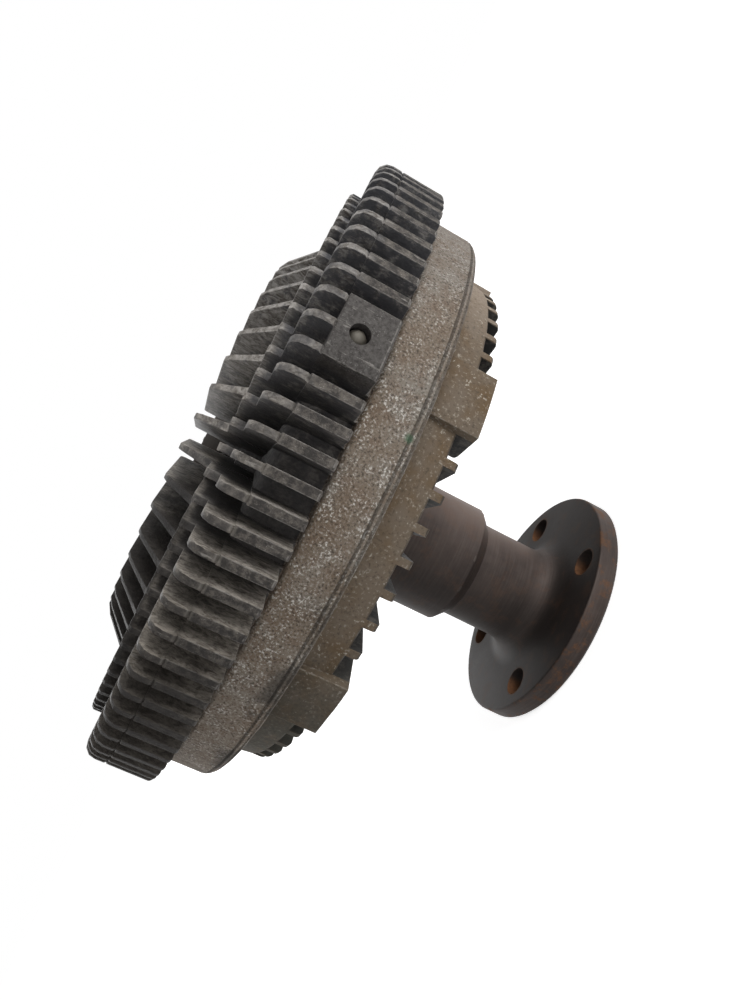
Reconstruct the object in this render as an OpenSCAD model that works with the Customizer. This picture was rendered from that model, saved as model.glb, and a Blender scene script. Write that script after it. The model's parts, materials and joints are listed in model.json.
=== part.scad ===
// Viscous fan clutch for a fan driven from the water pump.
// The drive flange's mounting face lies on z = 0 and the clutch axis is +Z.

/* [Drive shaft] */
// Diameter of the mounting flange
flange_d = 80; // [76:1:92]
// Thickness of the mounting flange
flange_t = 7.1; // [5:0.1:10]
// Number of flange bolts
bolt_count = 4; // [3:1:6]
// Bolt circle of the flange
bolt_circle_d = 63; // [60:0.5:65]
// Diameter of a flange bolt hole
bolt_hole_d = 9; // [6.6:0.1:10]
// Angle of the first flange bolt
bolt_turn = 36.5; // [0:0.5:60]
// Diameter of the pilot bore that centres the flange on the pump
pilot_d = 22; // [16:0.5:28]
// Depth of the pilot bore
pilot_depth = 5; // [3:0.5:8]
// Diameter of the neck above the flange
neck_d = 33.2; // [30:0.2:36]
// Fillet between flange and neck
neck_fillet = 8; // [3:0.5:9]
// Height at which the neck steps out to the collar
step_height = 38; // [30:1:50]
// Diameter of the collar
collar_d = 40.9; // [38:0.1:44]
// Height of the shoulder that the bearing seats on
shoulder_height = 70; // [64:1:84]

/* [Bearing] */
// Bore of the ball bearing
bearing_bore = 30; // [28:1:32]
// Outer diameter of the ball bearing
bearing_od = 62; // [60:1:65]
// Width of the ball bearing
bearing_w = 16; // [15:0.5:18]
// Diameter of a ball
ball_d = 9.5; // [8:0.1:10]
// Number of balls
ball_count = 9; // [7:1:10]
// Thickness of a bearing seal
seal_t = 1.2; // [0.8:0.1:1.6]
// Thickness of the snap ring in front of the bearing
snap_ring_t = 1.6; // [1:0.1:2]

/* [Rear housing] */
// Width of the ledge from the drum out to the flange held by the rolled lip
drum_ledge = 5.1; // [3.5:0.1:7]
// Draft of the drum's wall in degrees
drum_draft = 5; // [0:0.5:8]
// Distance from the bearing shoulder to the drum's rear edge
drum_setback = 5.2; // [3:0.1:8]
// Length of the drum from its rear edge to the rolled lip
drum_len = 9.8; // [8:0.1:13]
// Outer diameter of the bearing hub
hub_d = 76; // [72:1:82]
// Length of the hub's rear lip behind the bearing
hub_lip_t = 3; // [2:0.1:5]
// How far the rear face is dished in at the hub
rear_dish = 7.2; // [3:0.1:8]
// Diameter of the flange held by the rolled lip
joint_d = 176; // [173:0.5:177]
// Thickness of the flange held by the rolled lip
joint_t = 5.5; // [5:0.1:7]
// Number of fan bosses
boss_count = 6; // [4:1:6]
// Width of a fan boss
boss_w = 18.7; // [15:0.1:20]
// How far a boss stands out from the drum
boss_proud = 1.1; // [0.2:0.1:3]
// How far a boss stands behind the drum's rear edge
boss_rise = 4.5; // [3.5:0.1:7]
// Angle of the first fan boss
boss_turn = -63.6; // [-90:0.1:-30]
// Distance of the fan bolts from the outside of the bosses
fan_bolt_inset = 10; // [8:0.1:12]
// Diameter of the tapped fan bolt hole, before its thread
fan_hole_d = 5; // [4:0.1:6.8]
// Depth of the tapped fan bolt hole
fan_hole_depth = 12; // [8:0.5:14]
// Number of places for rear fins in one turn, those beside a boss left out
rear_fin_places = 60; // [48:12:60]
// Thickness of a rear fin
rear_fin_t = 2.2; // [1.6:0.1:2.6]
// How far the rear fins stand behind the drum's rear edge
rear_fin_rise = 3.3; // [2:0.1:5]

/* [Front housing] */
// Thickness of the plain band over the flange that it holds
band_wall = 4.1; // [3.4:0.1:6]
// Width of the plain band, rolled lip included
band_w = 14.5; // [12:0.1:18]
// Thickness of the rolled lip
lip_t = 2; // [1.6:0.1:2.6]
// Rounding of the rolled lip
lip_round = 3; // [2:0.1:3.6]
// Thickness of the front wall
front_wall_t = 8.5; // [7.5:0.1:10]
// Depth of the rim fins' bottom below the band
fin_root_drop = 4.1; // [2.1:0.1:5]
// How far the rim fins stand out from the band
fin_reach = 7.1; // [5:0.1:10]
// Number of rim fins, every other one tall at the front
fin_count = 90; // [60:6:90]
// Thickness of the rim fins
rim_fin_t = 2.6; // [1.8:0.1:3]
// Length of the straight part of the rim fins
rim_fin_len = 13.1; // [12.5:0.1:16]
// Thickness of the front fins
front_fin_t = 2.1; // [1.4:0.1:2.4]
// Height of the front fins' lobes over the straight rim fins
lobe_h = 7.1; // [5:0.1:9]
// Rounding of the lobes
lobe_round = 4; // [2:0.1:5]
// Height of the second step of the front fins over the lobes
mid_step_h = 3.3; // [2:0.1:5]
// How far the second step lies inside the rim
mid_step_inset = 11.7; // [9:0.1:19]
// Inner diameter of the low front fins
low_fin_d = 112; // [108:1:124]
// Height of the tall fins over the second step
tall_step_h = 8.9; // [5:0.1:12]
// Diameter where the tall fins rise from the second step
tall_foot_d = 138; // [130:1:150]
// Diameter over the top of the tall fins
tall_top_d = 121; // [100:1:128]
// Inner diameter of the tall fins, round the coil
tall_inner_d = 74; // [68:1:84]
// Thickness of a tall fin at its root
tall_root_t = 3; // [2.4:0.1:3.2]
// Thickness of a tall fin at its tip
tall_tip_t = 1.8; // [1.2:0.1:2.2]
// Angle of the pad among the rim fins
pad_turn = -69.8; // [-88:0.1:-40]
// Angle that the pad takes up
pad_sweep = 9.5; // [8:0.1:11]

/* [Fluid drive] */
// Distance from the rotor's rim to the outside of the joint flange
rotor_inset = 7; // [6.5:0.1:9]
// Thickness of the rotor's web
web_t = 5; // [3:0.1:7]
// Height of the lands on both sides of the rotor
land_h = 4.7; // [3:0.1:6]
// Share of the lands' pitch that a land takes up
land_share = 0.423; // [0.3:0.001:0.44]
// Width of the smooth wall between the partition plate and the lands
land_margin = 5.4; // [3:0.1:7]
// Number of lands on each side of the rotor
land_count = 6; // [3:1:6]
// Diameter of the rotor's seat on the shaft
rotor_bore = 28; // [24:0.5:29]
// Length of the rotor's hub
rotor_hub_len = 15; // [13.5:0.1:17]
// Diameter of the rotor's hub
rotor_hub_d = 42; // [38:0.5:46]
// Thickness of the ring that holds the rotor
keeper_t = 1.6; // [1:0.1:2]
// Width of the seat that the partition plate lies on
plate_seat_w = 6; // [5.5:0.1:8]
// Depth of the reservoir over the front wall's inner face
reservoir_h = 9.8; // [9.4:0.1:12]
// Diameter of the partition plate
plate_d = 100; // [97:0.5:101]
// Thickness of the partition plate
plate_t = 1.4; // [1:0.1:2]
// Diameter of the port in the partition plate
port_d = 8; // [5:0.5:9]
// Distance of that port from the reservoir's wall
port_inset = 10; // [8:0.5:16]
// Diameter of the drilled return passage
passage_d = 3.5; // [2.5:0.1:3.6]
// Diameter of the ball that plugs the passage
plug_d = 4.7; // [4:0.1:5.5]

/* [Valve] */
// Diameter of the valve shaft
valve_shaft_d = 8; // [7:0.1:9]
// Thickness of the valve arm
arm_t = 1.2; // [0.8:0.1:1.6]
// Width of the valve arm
arm_w = 9; // [8:0.5:12]
// Angle of the valve arm at rest
arm_turn = 110; // [90:1:150]
// Diameter of the boss round the valve shaft
valve_boss_d = 16; // [14:0.5:20]
// Height of that boss over the front wall
valve_boss_h = 3.5; // [2:0.1:5]

/* [Bimetal coil] */
// Thickness of the bimetal strip
strip_t = 1.1; // [0.7:0.1:1.3]
// Width of the bimetal strip
strip_w = 6; // [4:0.1:7]
// Radius of the coil's first turn
coil_r0 = 6.5; // [6:0.1:8]
// Distance between two turns
coil_pitch = 2.5; // [2:0.1:2.8]
// Number of turns
coil_turns = 4.5; // [3:0.5:4.5]
// Diameter of the post that holds the coil's outer end
post_d = 6; // [5:0.1:7]

/* [Fits] */
// Gap round a seated or pressed piece
seat_gap = 0.02; // [0.01:0.01:0.05]
// Radial gap of a running fit
run_gap = 0.04; // [0.02:0.01:0.08]
// Gap between pieces that lie close
close_gap = 0.3; // [0.2:0.05:0.5]
// Axial gap between the lands and the walls
fluid_gap = 1; // [0.6:0.1:1.2]
// Gap between the rotor's rim and its chamber
rim_gap = 1.3; // [0.8:0.1:1.6]

/* [Hidden] */
$fn = 96;

// Small overlap that makes joined shapes one solid
weld = 1.5;
// Chamfer on machined and cast edges
edge = 0.8;

// Heights from the mounting face, rear to front
z_bearing = shoulder_height;
z_bearing_top = z_bearing + bearing_w;
z_drum = shoulder_height + drum_setback;
z_lip = z_drum + drum_len;
z_joint = z_lip + lip_t;
z_ledge = z_joint + joint_t;
z_band_end = z_lip + band_w;
floor_rise = 1.3;
z_floor = z_joint + floor_rise;
z_web = z_floor + fluid_gap + land_h;
z_web_top = z_web + web_t;
z_wall = z_web_top + land_h + fluid_gap;
z_front = z_wall + front_wall_t;
fin_setback = 0.7;
z_fins = z_band_end + fin_setback;
z_notch = z_fins + rim_fin_len;
z_lobe = z_notch + lobe_h;
z_mid = z_lobe + mid_step_h;
z_tall = z_mid + tall_step_h;

// Radii
rotor_r = joint_d/2 - rotor_inset;
chamber_r = rotor_r + rim_gap;
joint_bore_r = joint_d/2 + close_gap;
drum_r = joint_d/2 - drum_ledge;
lip_r = drum_r + close_gap;
hub_bore_r = bearing_od/2 + seat_gap;
band_r = joint_d/2 + band_wall;
root_r = band_r - fin_root_drop;
rim_r = band_r + fin_reach;
mid_step_r = rim_r - mid_step_inset;

// Ball track of the bearing
track_r = (bearing_bore + bearing_od)/4;
ball_r = ball_d/2;
groove_r = ball_r + run_gap;
inner_race_r = track_r - 0.3*ball_d;
outer_race_r = track_r + 0.3*ball_d;
seal_seat_depth = 1.6;
seal_seat_r = outer_race_r + seal_seat_depth;
seal_inset = 0.4;
z_track = z_bearing + bearing_w/2;
snap_seat = 1.6;
snap_reach = 3;

// Rotor seat and the end of the shaft
rotor_seat_r = rotor_bore/2;
z_rotor = z_bearing_top;
z_keeper = z_rotor + rotor_hub_len;
keeper_groove = 1.2;
shaft_tip = 1.7;
z_shaft_end = z_keeper + keeper_t + shaft_tip;

// Partition plate and the reservoir behind it
plate_r = plate_d/2;
reservoir_r = plate_r - plate_seat_w;
port_r = reservoir_r - port_inset;

// Lands between the rotor's rim and the partition plate
land_pitch = (rotor_r - plate_r - land_margin)/(land_count - 1.5 + land_share);
land_t = land_share*land_pitch;

// Reservoir's wall and the valve stack
z_ceiling = z_wall + reservoir_h;
bulge_t = 4.5;
z_bulge = z_ceiling + bulge_t;
bulge_r = reservoir_r + bulge_t;
z_plate_top = z_wall + plate_t;
z_pad = z_plate_top + close_gap;
z_arm = z_pad + arm_t;
z_arm_top = z_arm + arm_t;
z_valve_bore = z_arm_top + close_gap;
z_boss_top = z_bulge + valve_boss_h;
valve_r = valve_shaft_d/2;
valve_bore_r = valve_r + run_gap;
clip_t = 0.8;
clip_groove = 0.9;
z_clip = z_boss_top + close_gap;
z_coil = z_clip + clip_t + close_gap;
z_coil_top = z_coil + strip_w;
ring_section = 1.4;
z_valve_ring = (z_valve_bore + z_boss_top)/2;
tenon_r = valve_r - 1.5;

// Body seal in the joint flange
body_ring_section = 2.2;
body_ring_r = joint_d/2 - body_ring_section/2;

// Drilled passage from the rotor's rim back to the reservoir
z_passage = z_wall + passage_d/2 + 1.3;
passage_port_r = rotor_r - land_t/2;
plug_depth = 5.7;
dam_r = 2.4;
dam_turn = 5;
dam_seat = 4;

// Screws of the partition plate
screw_count = 4;
screw_ring_r = (reservoir_r + plate_r)/2;
screw_r = 1.5;
screw_head_r = 2.6;
screw_head_t = 1.1;
screw_len = 6;

// Fins
fin_step = 360/fin_count;
first_fin = -90;
rear_fin_step = 360/rear_fin_places;
boss_step = 360/boss_count;
boss_over_r = drum_r + boss_proud;
fan_r = boss_over_r - fan_bolt_inset;
hub_r = hub_d/2;
z_dish = z_drum + rear_dish;
rear_edge_w = 4;
dish_r = drum_r - rear_edge_w;

// End of the coil
coil_end_r = coil_r0 + coil_pitch*coil_turns;
coil_end_turn = 360*coil_turns;
post_r = coil_end_r + post_d/2 + strip_t;
slot_gap = 0.15;

// Points on an arc, used for rounded corners of turned profiles
function arc(x, y, r, a0, a1, n = 6) =
    [for (i = [0:n]) [x + r*cos(a0 + (a1 - a0)*i/n), y + r*sin(a0 + (a1 - a0)*i/n)]];

// Quarter round of a rolled lip with two V-grooves at the given angles
function grooved(x, y, r, turns, half, depth) = concat(
    arc(x, y, r, 270, turns[0] - half, 4),
    [[x + (r - depth)*cos(turns[0]), y + (r - depth)*sin(turns[0])]],
    arc(x, y, r, turns[0] + half, turns[1] - half, 2),
    [[x + (r - depth)*cos(turns[1]), y + (r - depth)*sin(turns[1])]],
    arc(x, y, r, turns[1] + half, 360, 1)
);

// Radial fins as one star: parallel sides, joined in the middle
function star(angles, inner, outer, t) = [
    for (a = angles)
        each [for (p = [[inner, -t/2], [outer, -t/2], [outer, t/2], [inner, t/2]])
            [p[0]*cos(a) - p[1]*sin(a), p[0]*sin(a) + p[1]*cos(a)]]
];

// Land k of the rotor, counted inwards from the rim, and the housing ring inside it
function land_mid(k) = rotor_r - land_t/2 - k*land_pitch;
function ring_mid(k) = land_mid(k) - land_pitch/2;

module ring(r_in, r_out, z0, z1) {
    rotate_extrude()
        translate([r_in, z0])
            square([r_out - r_in, z1 - z0]);
}

module torus(r, section, z) {
    rotate_extrude()
        translate([r, z])
            circle(r = section/2);
}

module around(count, r, turn = 0) {
    for (i = [0:count - 1])
        rotate(turn + i*360/count)
            translate([r, 0, 0])
                children();
}

// Fins cut out of a turned envelope by a star
module fins(angles, inner, t, z0, z1, envelope) {
    intersection() {
        translate([0, 0, z0])
            linear_extrude(z1 - z0)
                polygon(star(angles, inner, 2*rim_r, t));
        rotate_extrude()
            polygon(envelope);
    }
}

// Forged shaft: flange, neck, collar, bearing seat and rotor seat
module drive_shaft() {
    seat_r = bearing_bore/2 - seat_gap;
    collar_r = collar_d/2;
    neck_r = neck_d/2;
    collar_step = collar_r - neck_r;
    relief_r = inner_race_r - 1;
    relief_h = 2;
    fillet = neck_fillet;
    color("#4a4743")
        difference() {
            rotate_extrude()
                polygon(concat(
                    [[0, 0], [flange_d/2 - edge, 0], [flange_d/2, edge]],
                    arc(flange_d/2 - edge, flange_t - edge, edge, 0, 90, 3),
                    arc(neck_r + fillet, flange_t + fillet, fillet, 270, 180, 8),
                    [[neck_r, step_height - collar_step], [collar_r, step_height]],
                    [[collar_r, z_bearing - relief_h - edge], [collar_r - edge, z_bearing - relief_h]],
                    [[relief_r, z_bearing - relief_h], [relief_r, z_bearing], [seat_r, z_bearing]],
                    [[seat_r, z_rotor], [rotor_seat_r - seat_gap, z_rotor]],
                    [[rotor_seat_r - seat_gap, z_keeper], [rotor_seat_r - keeper_groove, z_keeper]],
                    [[rotor_seat_r - keeper_groove, z_keeper + keeper_t]],
                    [[rotor_seat_r - seat_gap, z_keeper + keeper_t]],
                    [[rotor_seat_r - seat_gap, z_shaft_end - edge], [rotor_seat_r - edge, z_shaft_end]],
                    [[0, z_shaft_end]]
                ));
            translate([0, 0, -1])
                cylinder(d = pilot_d, h = pilot_depth + 1);
            around(bolt_count, bolt_circle_d/2, bolt_turn)
                translate([0, 0, -1])
                    cylinder(d = bolt_hole_d, h = flange_t + 2);
        }
}

module bearing_inner_race() {
    color("#b9bcc0")
        difference() {
            ring(bearing_bore/2, inner_race_r, z_bearing, z_bearing_top);
            torus(track_r, 2*groove_r, z_track);
        }
}

module bearing_outer_race() {
    seal_depth = seal_inset + seal_t;
    color("#b9bcc0")
        difference() {
            ring(outer_race_r, bearing_od/2, z_bearing, z_bearing_top);
            torus(track_r, 2*groove_r, z_track);
            ring(outer_race_r - 1, seal_seat_r, z_bearing - 1, z_bearing + seal_depth);
            ring(outer_race_r - 1, seal_seat_r, z_bearing_top - seal_depth, z_bearing_top + 1);
        }
}

module bearing_balls() {
    color("#d4d6d9")
        around(ball_count, track_r)
            translate([0, 0, z_track])
                sphere(d = ball_d);
}

module bearing_cage() {
    cage_t = 0.34*ball_d;
    cage_w = ball_d + 2.2;
    pocket_gap = 0.2;
    color("#a8894f")
        difference() {
            ring(track_r - cage_t/2, track_r + cage_t/2, z_track - cage_w/2, z_track + cage_w/2);
            around(ball_count, track_r)
                translate([0, 0, z_track])
                    sphere(d = ball_d + 2*pocket_gap);
        }
}

module bearing_seal(z) {
    color("#2b2b2d")
        ring(inner_race_r + close_gap, seal_seat_r - seat_gap, z, z + seal_t);
}

module bearing_seal_rear() {
    bearing_seal(z_bearing + seal_inset);
}

module bearing_seal_front() {
    bearing_seal(z_bearing_top - seal_inset - seal_t);
}

// Split ring that keeps the bearing in the hub
module bearing_snap_ring() {
    snap_in_r = hub_bore_r - snap_reach;
    snap_out_r = hub_bore_r + snap_seat;
    split = 12;
    color("#8d8f93")
        difference() {
            ring(snap_in_r, snap_out_r, z_bearing_top, z_bearing_top + snap_ring_t);
            translate([snap_in_r - snap_reach, -split/2, z_bearing_top - snap_ring_t])
                cube([3*snap_reach, split, 3*snap_ring_t]);
        }
}

// Disc with concentric lands on both faces
module rotor() {
    holes = 6;
    hole_r = 4;
    hole_ring_r = (rotor_hub_d/2 + land_mid(land_count - 1))/2;
    color("#c3c5c8")
        difference() {
            union() {
                ring(rotor_bore/2, rotor_hub_d/2, z_rotor, z_keeper);
                ring(rotor_hub_d/2 - weld, rotor_r, z_web, z_web_top);
                for (k = [0:land_count - 1])
                    ring(land_mid(k) - land_t/2, land_mid(k) + land_t/2, z_web - land_h, z_web_top + land_h);
            }
            around(holes, hole_ring_r)
                translate([0, 0, z_web - 1])
                    cylinder(r = hole_r, h = web_t + 2);
        }
}

// Split ring in the groove at the shaft's end
module rotor_keeper() {
    keeper_in_r = rotor_seat_r - keeper_groove + seat_gap;
    keeper_reach = 3;
    keeper_out_r = rotor_seat_r + keeper_reach;
    split = 8;
    color("#8d8f93")
        difference() {
            ring(keeper_in_r, keeper_out_r, z_keeper, z_keeper + keeper_t);
            translate([keeper_in_r - keeper_reach, -split/2, z_keeper - keeper_t])
                cube([4*keeper_reach, split, 3*keeper_t]);
        }
}

// Rear fins between the fan bosses, as places counted from the first boss
function rear_fin_angles() = [
    for (i = [0:rear_fin_places - 1])
        let (a = i*rear_fin_step, off = abs(a - boss_step*round(a/boss_step)))
            if (off > rear_fin_step + 0.01) boss_turn + a
];

module fan_boss() {
    z0 = z_drum - boss_rise;
    intersection() {
        translate([0, 0, z0])
            linear_extrude(z_lip - close_gap - z0) {
                translate([fan_r, 0])
                    circle(d = boss_w);
                translate([fan_r, -boss_w/2])
                    square([boss_over_r, boss_w]);
            }
        translate([0, 0, z0])
            cylinder(r = boss_over_r, h = z_lip - z0);
    }
}

// Die-cast rear half: bearing hub, dished wall, drum, fan bosses and rear fins
module rear_housing() {
    lip_reach = 4;
    lip_bore_r = hub_bore_r - lip_reach;
    hub_front = 2.2;
    groove_w = snap_ring_t + 2*seat_gap;
    groove_r_out = hub_bore_r + snap_seat + seat_gap;
    drum_end_r = drum_r - (z_joint - z_drum)*tan(drum_draft);
    round_r = 1.5;
    seal_half = body_ring_section/2 + 0.2;
    seal_floor = joint_d/2 - body_ring_section;
    z_seal = (z_joint + z_ledge)/2;
    hub_fillet = 3;
    dish_lean = atan2(rear_dish, dish_r - hub_r - hub_fillet);
    fin_start = 4.5;
    fin_in_r = hub_r + fin_start;
    fin_tip_round = 1.6;
    z_fin_tip = z_drum - rear_fin_rise;
    fin_out_r = drum_end_r - 0.1;
    fin_slope = 7.5;
    color("#8a8073")
        difference() {
            union() {
                rotate_extrude()
                    polygon(concat(
                        [[lip_bore_r, z_bearing - hub_lip_t], [hub_r - edge, z_bearing - hub_lip_t]],
                        [[hub_r, z_bearing - hub_lip_t + edge]],
                        arc(hub_r + hub_fillet, z_dish - hub_fillet, hub_fillet, 180, 90 + dish_lean, 5),
                        [[dish_r, z_drum]],
                        arc(drum_end_r - round_r, z_drum + round_r, round_r, 270, 360, 4),
                        [[drum_r, z_joint], [joint_d/2 - edge/2, z_joint], [joint_d/2, z_joint + edge/2]],
                        [[joint_d/2, z_seal - seal_half], [seal_floor, z_seal - seal_half]],
                        [[seal_floor, z_seal + seal_half], [joint_d/2, z_seal + seal_half]],
                        [[joint_d/2, z_ledge], [chamber_r, z_ledge], [chamber_r, z_floor]],
                        [[hub_r, z_floor], [hub_r, z_floor + hub_front], [hub_bore_r, z_floor + hub_front]],
                        [[hub_bore_r, z_bearing_top + groove_w], [groove_r_out, z_bearing_top + groove_w]],
                        [[groove_r_out, z_bearing_top], [hub_bore_r, z_bearing_top]],
                        [[hub_bore_r, z_bearing], [lip_bore_r, z_bearing]]
                    ));
                for (k = [0:land_count - 2])
                    ring(ring_mid(k) - land_t/2, ring_mid(k) + land_t/2, z_floor - weld, z_web - fluid_gap);
                fins(rear_fin_angles(), hub_r + 2, rear_fin_t, z_fin_tip - 1, z_dish + weld + 1, concat(
                    [[fin_in_r, z_fin_tip + fin_slope/2], [fin_in_r + fin_slope, z_fin_tip]],
                    arc(fin_out_r - fin_tip_round, z_fin_tip + fin_tip_round, fin_tip_round, 270, 360, 4),
                    [[fin_out_r, z_drum + weld], [dish_r, z_drum + weld], [fin_in_r, z_dish + weld]]
                ));
                for (i = [0:boss_count - 1])
                    rotate(boss_turn + i*boss_step)
                        fan_boss();
            }
            around(boss_count, fan_r, boss_turn)
                translate([0, 0, z_drum - boss_rise - 1])
                    cylinder(d = fan_hole_d, h = fan_hole_depth + 1);
        }
}

// Angles of the rim fins and of those that the pad leaves standing
function fin_angles(first, step) = [for (a = [first:step:first + 359.9]) a];
function clear_of_pad(a) = abs(a - pad_turn) > pad_sweep/2;

module tall_fins() {
    inner = tall_inner_d/2;
    tip = 1.2;
    intersection() {
        for (a = fin_angles(first_fin + fin_step, 2*fin_step))
            rotate(a)
                translate([inner - 1, 0, 0])
                    rotate([90, 0, 90])
                        linear_extrude(tall_foot_d/2 + 3 - inner)
                            polygon([
                                [-tall_root_t/2, z_front - weld], [tall_root_t/2, z_front - weld],
                                [tall_tip_t/2, z_tall], [-tall_tip_t/2, z_tall]
                            ]);
        rotate_extrude()
            polygon(concat(
                [[inner, z_front - weld], [tall_foot_d/2 + 1, z_front - weld], [tall_foot_d/2 + 1, z_mid]],
                [[tall_foot_d/2, z_mid + 0.6], [tall_top_d/2 + 1, z_tall - tip], [tall_top_d/2 - tip, z_tall]],
                arc(inner + tip, z_tall - tip, tip, 90, 180, 3)
            ));
    }
}

module front_fins() {
    notch = 0.5;
    small = 0.8;
    fins(fin_angles(first_fin, fin_step), low_fin_d/2 - 3, front_fin_t, z_front - weld, z_mid, concat(
        [[low_fin_d/2, z_front - weld], [rim_r - notch, z_front - weld], [rim_r - notch, z_notch]],
        [[rim_r, z_notch + notch]],
        arc(rim_r - lobe_round, z_lobe - lobe_round, lobe_round, 0, 90, 3),
        [[mid_step_r, z_lobe]],
        arc(mid_step_r - small, z_mid - small, small, 0, 90, 1),
        arc(low_fin_d/2 + small, z_mid - small, small, 90, 180, 1)
    ));
}

module rim_fins() {
    chip = 0.6;
    seam = 0.3;
    inside = root_r - 2;
    kept = [for (a = fin_angles(first_fin, fin_step)) if (clear_of_pad(a)) a];
    fins(kept, inside - 2, rim_fin_t, z_band_end - weld, z_notch, [
        [inside, z_band_end - weld], [band_r - weld, z_band_end - weld], [band_r - weld, z_fins],
        [rim_r - chip, z_fins], [rim_r, z_fins + chip],
        [rim_r, z_notch - seam], [rim_r - seam, z_notch], [inside, z_notch]
    ]);
    rotate(pad_turn - pad_sweep/2)
        rotate_extrude(angle = pad_sweep)
            polygon([
                [inside, z_band_end - weld], [band_r - weld, z_band_end - weld], [band_r - weld, z_fins],
                [rim_r - chip, z_fins], [rim_r, z_fins + chip],
                [rim_r, z_notch - seam], [rim_r - seam, z_notch], [inside, z_notch]
            ]);
}

// Die-cast front half: band, rim, labyrinth rings, reservoir and all the fins
module front_housing() {
    corner = 6;
    groove_d = 0.45;
    groove_half = 7;
    groove_turns = [319, 351];
    post_slot = strip_t + 2*slot_gap;
    color("#4d4c4c")
        difference() {
            union() {
                rotate_extrude()
                    polygon(concat(
                        [[lip_r, z_lip]],
                        grooved(band_r - lip_round, z_lip + lip_round, lip_round, groove_turns, groove_half, groove_d),
                        [[band_r, z_band_end - edge], [band_r - edge, z_band_end], [root_r, z_band_end]],
                        arc(root_r - corner, z_front - corner, corner, 0, 90),
                        [[bulge_r + bulge_t, z_front], [bulge_r, z_bulge], [valve_boss_d/2, z_bulge]],
                        [[valve_boss_d/2, z_boss_top], [valve_bore_r, z_boss_top]],
                        [[valve_bore_r, z_valve_bore], [valve_boss_d/2, z_valve_bore]],
                        [[valve_boss_d/2, z_ceiling], [reservoir_r, z_ceiling], [reservoir_r, z_plate_top]],
                        [[plate_r + seat_gap, z_plate_top], [plate_r + seat_gap, z_wall]],
                        [[chamber_r, z_wall], [chamber_r, z_ledge], [joint_bore_r, z_ledge]],
                        [[joint_bore_r, z_joint], [lip_r, z_joint]]
                    ));
                for (k = [0:land_count - 2])
                    ring(ring_mid(k) - land_t/2, ring_mid(k) + land_t/2, z_web_top + fluid_gap, z_wall + weld);
                rim_fins();
                front_fins();
                tall_fins();
                rotate(coil_end_turn)
                    translate([post_r, 0, z_bulge - weld])
                        cylinder(d = post_d, h = z_coil_top - z_bulge + weld);
            }
            rotate(coil_end_turn)
                translate([post_r - post_d, -post_slot/2, z_coil - close_gap])
                    cube([2*post_d, post_slot, strip_w + 2]);
            rotate(pad_turn) {
                translate([reservoir_r - 1, 0, z_passage])
                    rotate([0, 90, 0])
                        cylinder(d = passage_d, h = rim_r - reservoir_r);
                translate([rim_r - plug_depth, 0, z_passage])
                    rotate([0, 90, 0])
                        cylinder(d = plug_d + 2*seat_gap, h = plug_depth + 1);
                translate([passage_port_r, 0, z_wall - 1])
                    cylinder(d = passage_d, h = z_passage - z_wall + 1);
            }
            rotate(pad_turn + dam_turn)
                translate([passage_port_r, 0, z_wall - 1])
                    cylinder(r = dam_r + seat_gap, h = dam_seat + 1);
            around(screw_count, screw_ring_r)
                translate([0, 0, z_plate_top - 1])
                    cylinder(r = screw_r + seat_gap, h = screw_len - plate_t + 1);
        }
}

module housing_o_ring() {
    color("#1d1d1f")
        torus(body_ring_r, body_ring_section, (z_joint + z_ledge)/2);
}

// Steel ball pressed into the outer end of the drilled passage
module passage_ball() {
    color("#c9ccd0")
        rotate(pad_turn)
            translate([rim_r - plug_depth + plug_d/2, 0, z_passage])
                sphere(d = plug_d);
}

// Pin that scrapes the fluid off the rotor's rim into the passage
module wiper_dam() {
    z0 = z_web_top + land_h + close_gap;
    color("#b08d57")
        rotate(pad_turn + dam_turn)
            translate([passage_port_r, 0, z0])
                cylinder(r = dam_r, h = z_wall + dam_seat - z0);
}

module partition_plate() {
    color("#b5b7ba")
        difference() {
            ring(0, plate_r, z_wall, z_plate_top);
            rotate(arm_turn)
                translate([port_r, 0, z_wall - 1])
                    cylinder(d = port_d, h = plate_t + 2);
            around(screw_count, screw_ring_r)
                translate([0, 0, z_wall - 1])
                    cylinder(r = screw_r + seat_gap, h = plate_t + 2);
        }
}

module partition_screws() {
    color("#9a9da1")
        around(screw_count, screw_ring_r) {
            translate([0, 0, z_wall])
                cylinder(r = screw_r, h = screw_len - close_gap);
            translate([0, 0, z_wall - screw_head_t])
                cylinder(r = screw_head_r, h = screw_head_t);
        }
}

// Shaft that the coil turns, riveted to the arm at its inner end
module valve_shaft() {
    head_t = arm_t - close_gap/2;
    ring_floor = valve_bore_r - ring_section - 0.02;
    ring_half = ring_section/2 + 0.15;
    z_top = z_coil_top + close_gap;
    slot = strip_t + 2*slot_gap;
    color("#a9acb0")
        difference() {
            rotate_extrude()
                polygon([
                    [0, z_arm - head_t], [tenon_r + 0.8, z_arm - head_t], [tenon_r + 0.8, z_arm],
                    [tenon_r, z_arm], [tenon_r, z_arm_top], [valve_r, z_arm_top],
                    [valve_r, z_valve_ring - ring_half], [ring_floor, z_valve_ring - ring_half],
                    [ring_floor, z_valve_ring + ring_half], [valve_r, z_valve_ring + ring_half],
                    [valve_r, z_clip], [valve_r - clip_groove, z_clip],
                    [valve_r - clip_groove, z_clip + clip_t], [valve_r, z_clip + clip_t],
                    [valve_r, z_top - edge/2], [valve_r - edge/2, z_top], [0, z_top]
                ]);
            translate([-valve_r - 1, -slot/2, z_coil - close_gap/2])
                cube([2*valve_r + 2, slot, strip_w + 2]);
        }
}

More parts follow.
